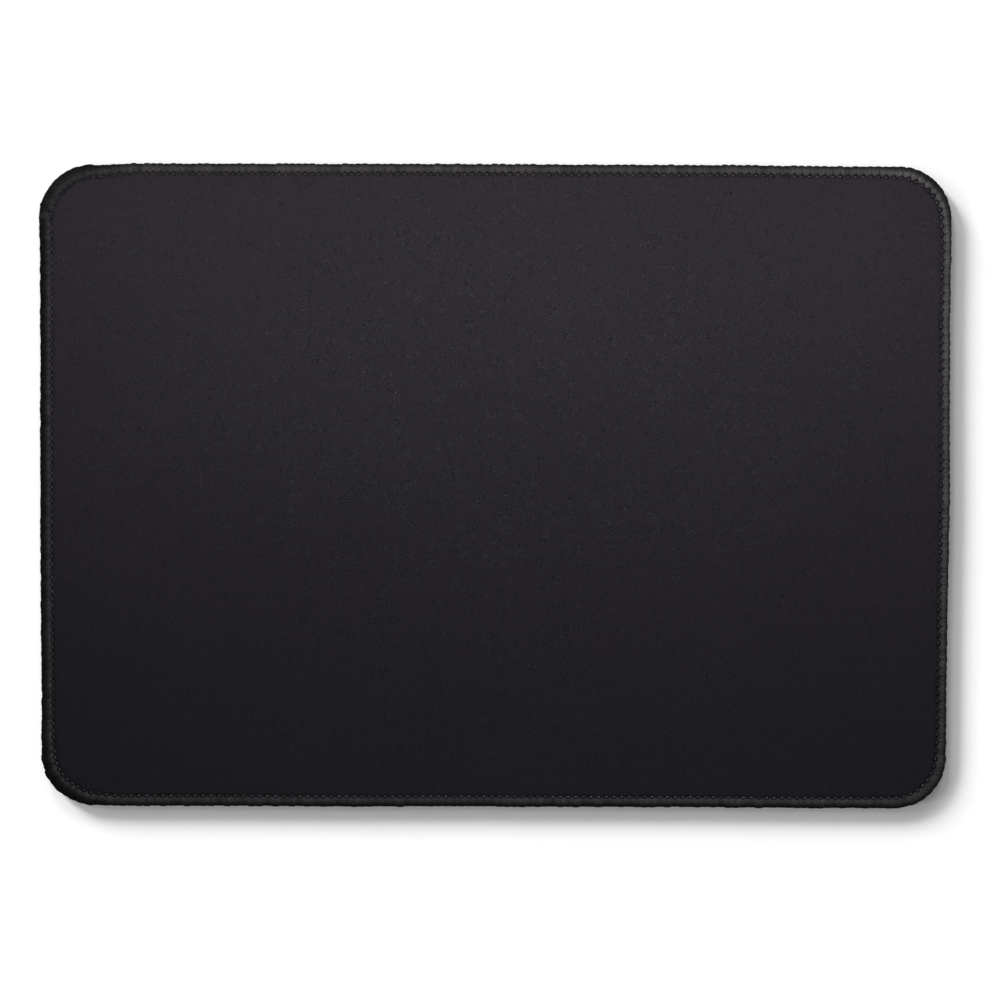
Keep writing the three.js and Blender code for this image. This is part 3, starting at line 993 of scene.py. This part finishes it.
# floor, light and camera
studio = {
    "floorSize": 6.0,
    "floorDrop": 0.05 * mm,
    "paper": (0.9, 0.9, 0.9, 1.0),
    "paperAside": (0.12, 0.12, 0.12, 1.0),  # dimmer in the light that it throws back on the pad
    "ambient": 0.233,
}


def seenRays(add):  # 1 where the background is looked at, straight or in a reflection
    rays = add("LightPath").outputs
    seen = add("Math MAXIMUM", rays["Is Camera Ray"], rays["Is Glossy Ray"])
    return add("Math MAXIMUM", seen, rays["Is Transmission Ray"])


def palePaper(add):
    white = add("BsdfDiffuse", studio["paper"])
    grey = add("BsdfDiffuse", studio["paperAside"])
    return add("MixShader", seenRays(add), grey, white)


def makeFloor():
    half = studio["floorSize"] / 2
    mesh = bpy.data.meshes.new("floor")
    corners = [(x * half, y * half, -studio["floorDrop"]) for x, y in quarters]
    mesh.from_pydata(corners, [], [(0, 1, 2, 3)])
    mesh.materials.append(makeMaterial(palePaper))
    floor = addPiece("floor", mesh)
    return floor


def makeWorld():
    world = bpy.data.worlds.new("studio")
    scene.world = world
    world.use_nodes = True
    world.node_tree.nodes.clear()
    add = partial(addNode, world.node_tree)
    strength = add("MapRange", seenRays(add), 0, 1, studio["ambient"], 1.0)
    shade = add("Background", linear("#FFFFFF"), strength)
    add("OutputWorld", shade)


def makeLamp(name, kind, receivers, place, target, **settings):
    light = bpy.data.lights.new(name, kind)
    for key, value in settings.items():
        setattr(light, key, value)
    lamp = addPiece(name, light)
    lamp.visible_camera = False
    lamp.location = place
    direction = lamp.location.copy()
    direction.x, direction.y, direction.z = (target[axis] - place[axis] for axis in range(3))
    lamp.rotation_euler = direction.to_track_quat("-Z", "Y").to_euler()
    group = bpy.data.collections.new(name + "Receivers")
    for receiver in receivers:
        group.objects.link(receiver)
    lamp.light_linking.receiver_collection = group


floor = makeFloor()
makeWorld()
layers = [clothFace, bondFilm, foamBase]
threads = [needleThread, upperLooper, lowerLooper]
origin = (0.0, 0.0, 0.0)
# the lamps of the pad: what each lights, its place, target, size, power and colour
lamps = {
    # over the far half of the cloth, a little warmer than the room, and a weak one along the near edge
    "softbox": (layers, (0.03, 0.116, 0.163), (0.03, 0.078, 0.0), (0.5, 0.12), 0.74, "#FFF4F3"),
    "nearLamp": (layers, (0.03, -0.15, 0.07), (0.03, -0.11, 0.0), (0.3, 0.04), 0.011, "#FFFFFF"),
    # two close ones over the seam
    "topLamp": (threads, (-0.032, 0.096, 0.084), origin, (0.2, 0.2), 0.072, "#FFFFFF"),
    "rightLamp": (threads, (0.203, 0.105, 0.126), origin, (0.2, 0.2), 0.26, "#FFFFFF"),
}
for name, (receivers, place, target, (wide, deep), power, colour) in lamps.items():
    makeLamp(name, "AREA", receivers, place, target, shape="RECTANGLE", size=wide, size_y=deep, energy=power,
             color=linear(colour)[:3])
# and a wide soft light on the floor, low on the far left: heading, elevation, spread, strength
floorLamps = [
    (80, 17, 16, 0.8), (108, 16, 16, 1.87), (135, 13.5, 16, 6.55),
    (162, 16, 16, 1.18), (190, 17, 16, 1.04), (135, 90, 60, 0.08),
]
for heading, elevation, spread, strength in floorLamps:
    flat = math.cos(math.radians(elevation))
    turn = math.radians(heading)
    place = (math.cos(turn) * flat, math.sin(turn) * flat, math.sin(math.radians(elevation)))
    makeLamp("floorLamp", "SUN", [floor], place, origin, angle=math.radians(spread), energy=strength)

# the camera looks straight down, tilted a little, as measured from the outline's edges
lens = {
    "focal": 85,
    "nearest": 10 * mm,
    "place": (-1.34 * mm, 25.2 * mm, 884.3 * mm),
    "turn": (-1.941, -0.193, 0.202),
}
cameraData = bpy.data.cameras.new("camera")
cameraData.lens = lens["focal"]
cameraData.clip_start = lens["nearest"]
camera = addPiece("camera", cameraData)
camera.location = lens["place"]
camera.rotation_euler = [math.radians(angle) for angle in lens["turn"]]
scene.camera = camera
scene.view_settings.view_transform = "Standard"
print("studio set")
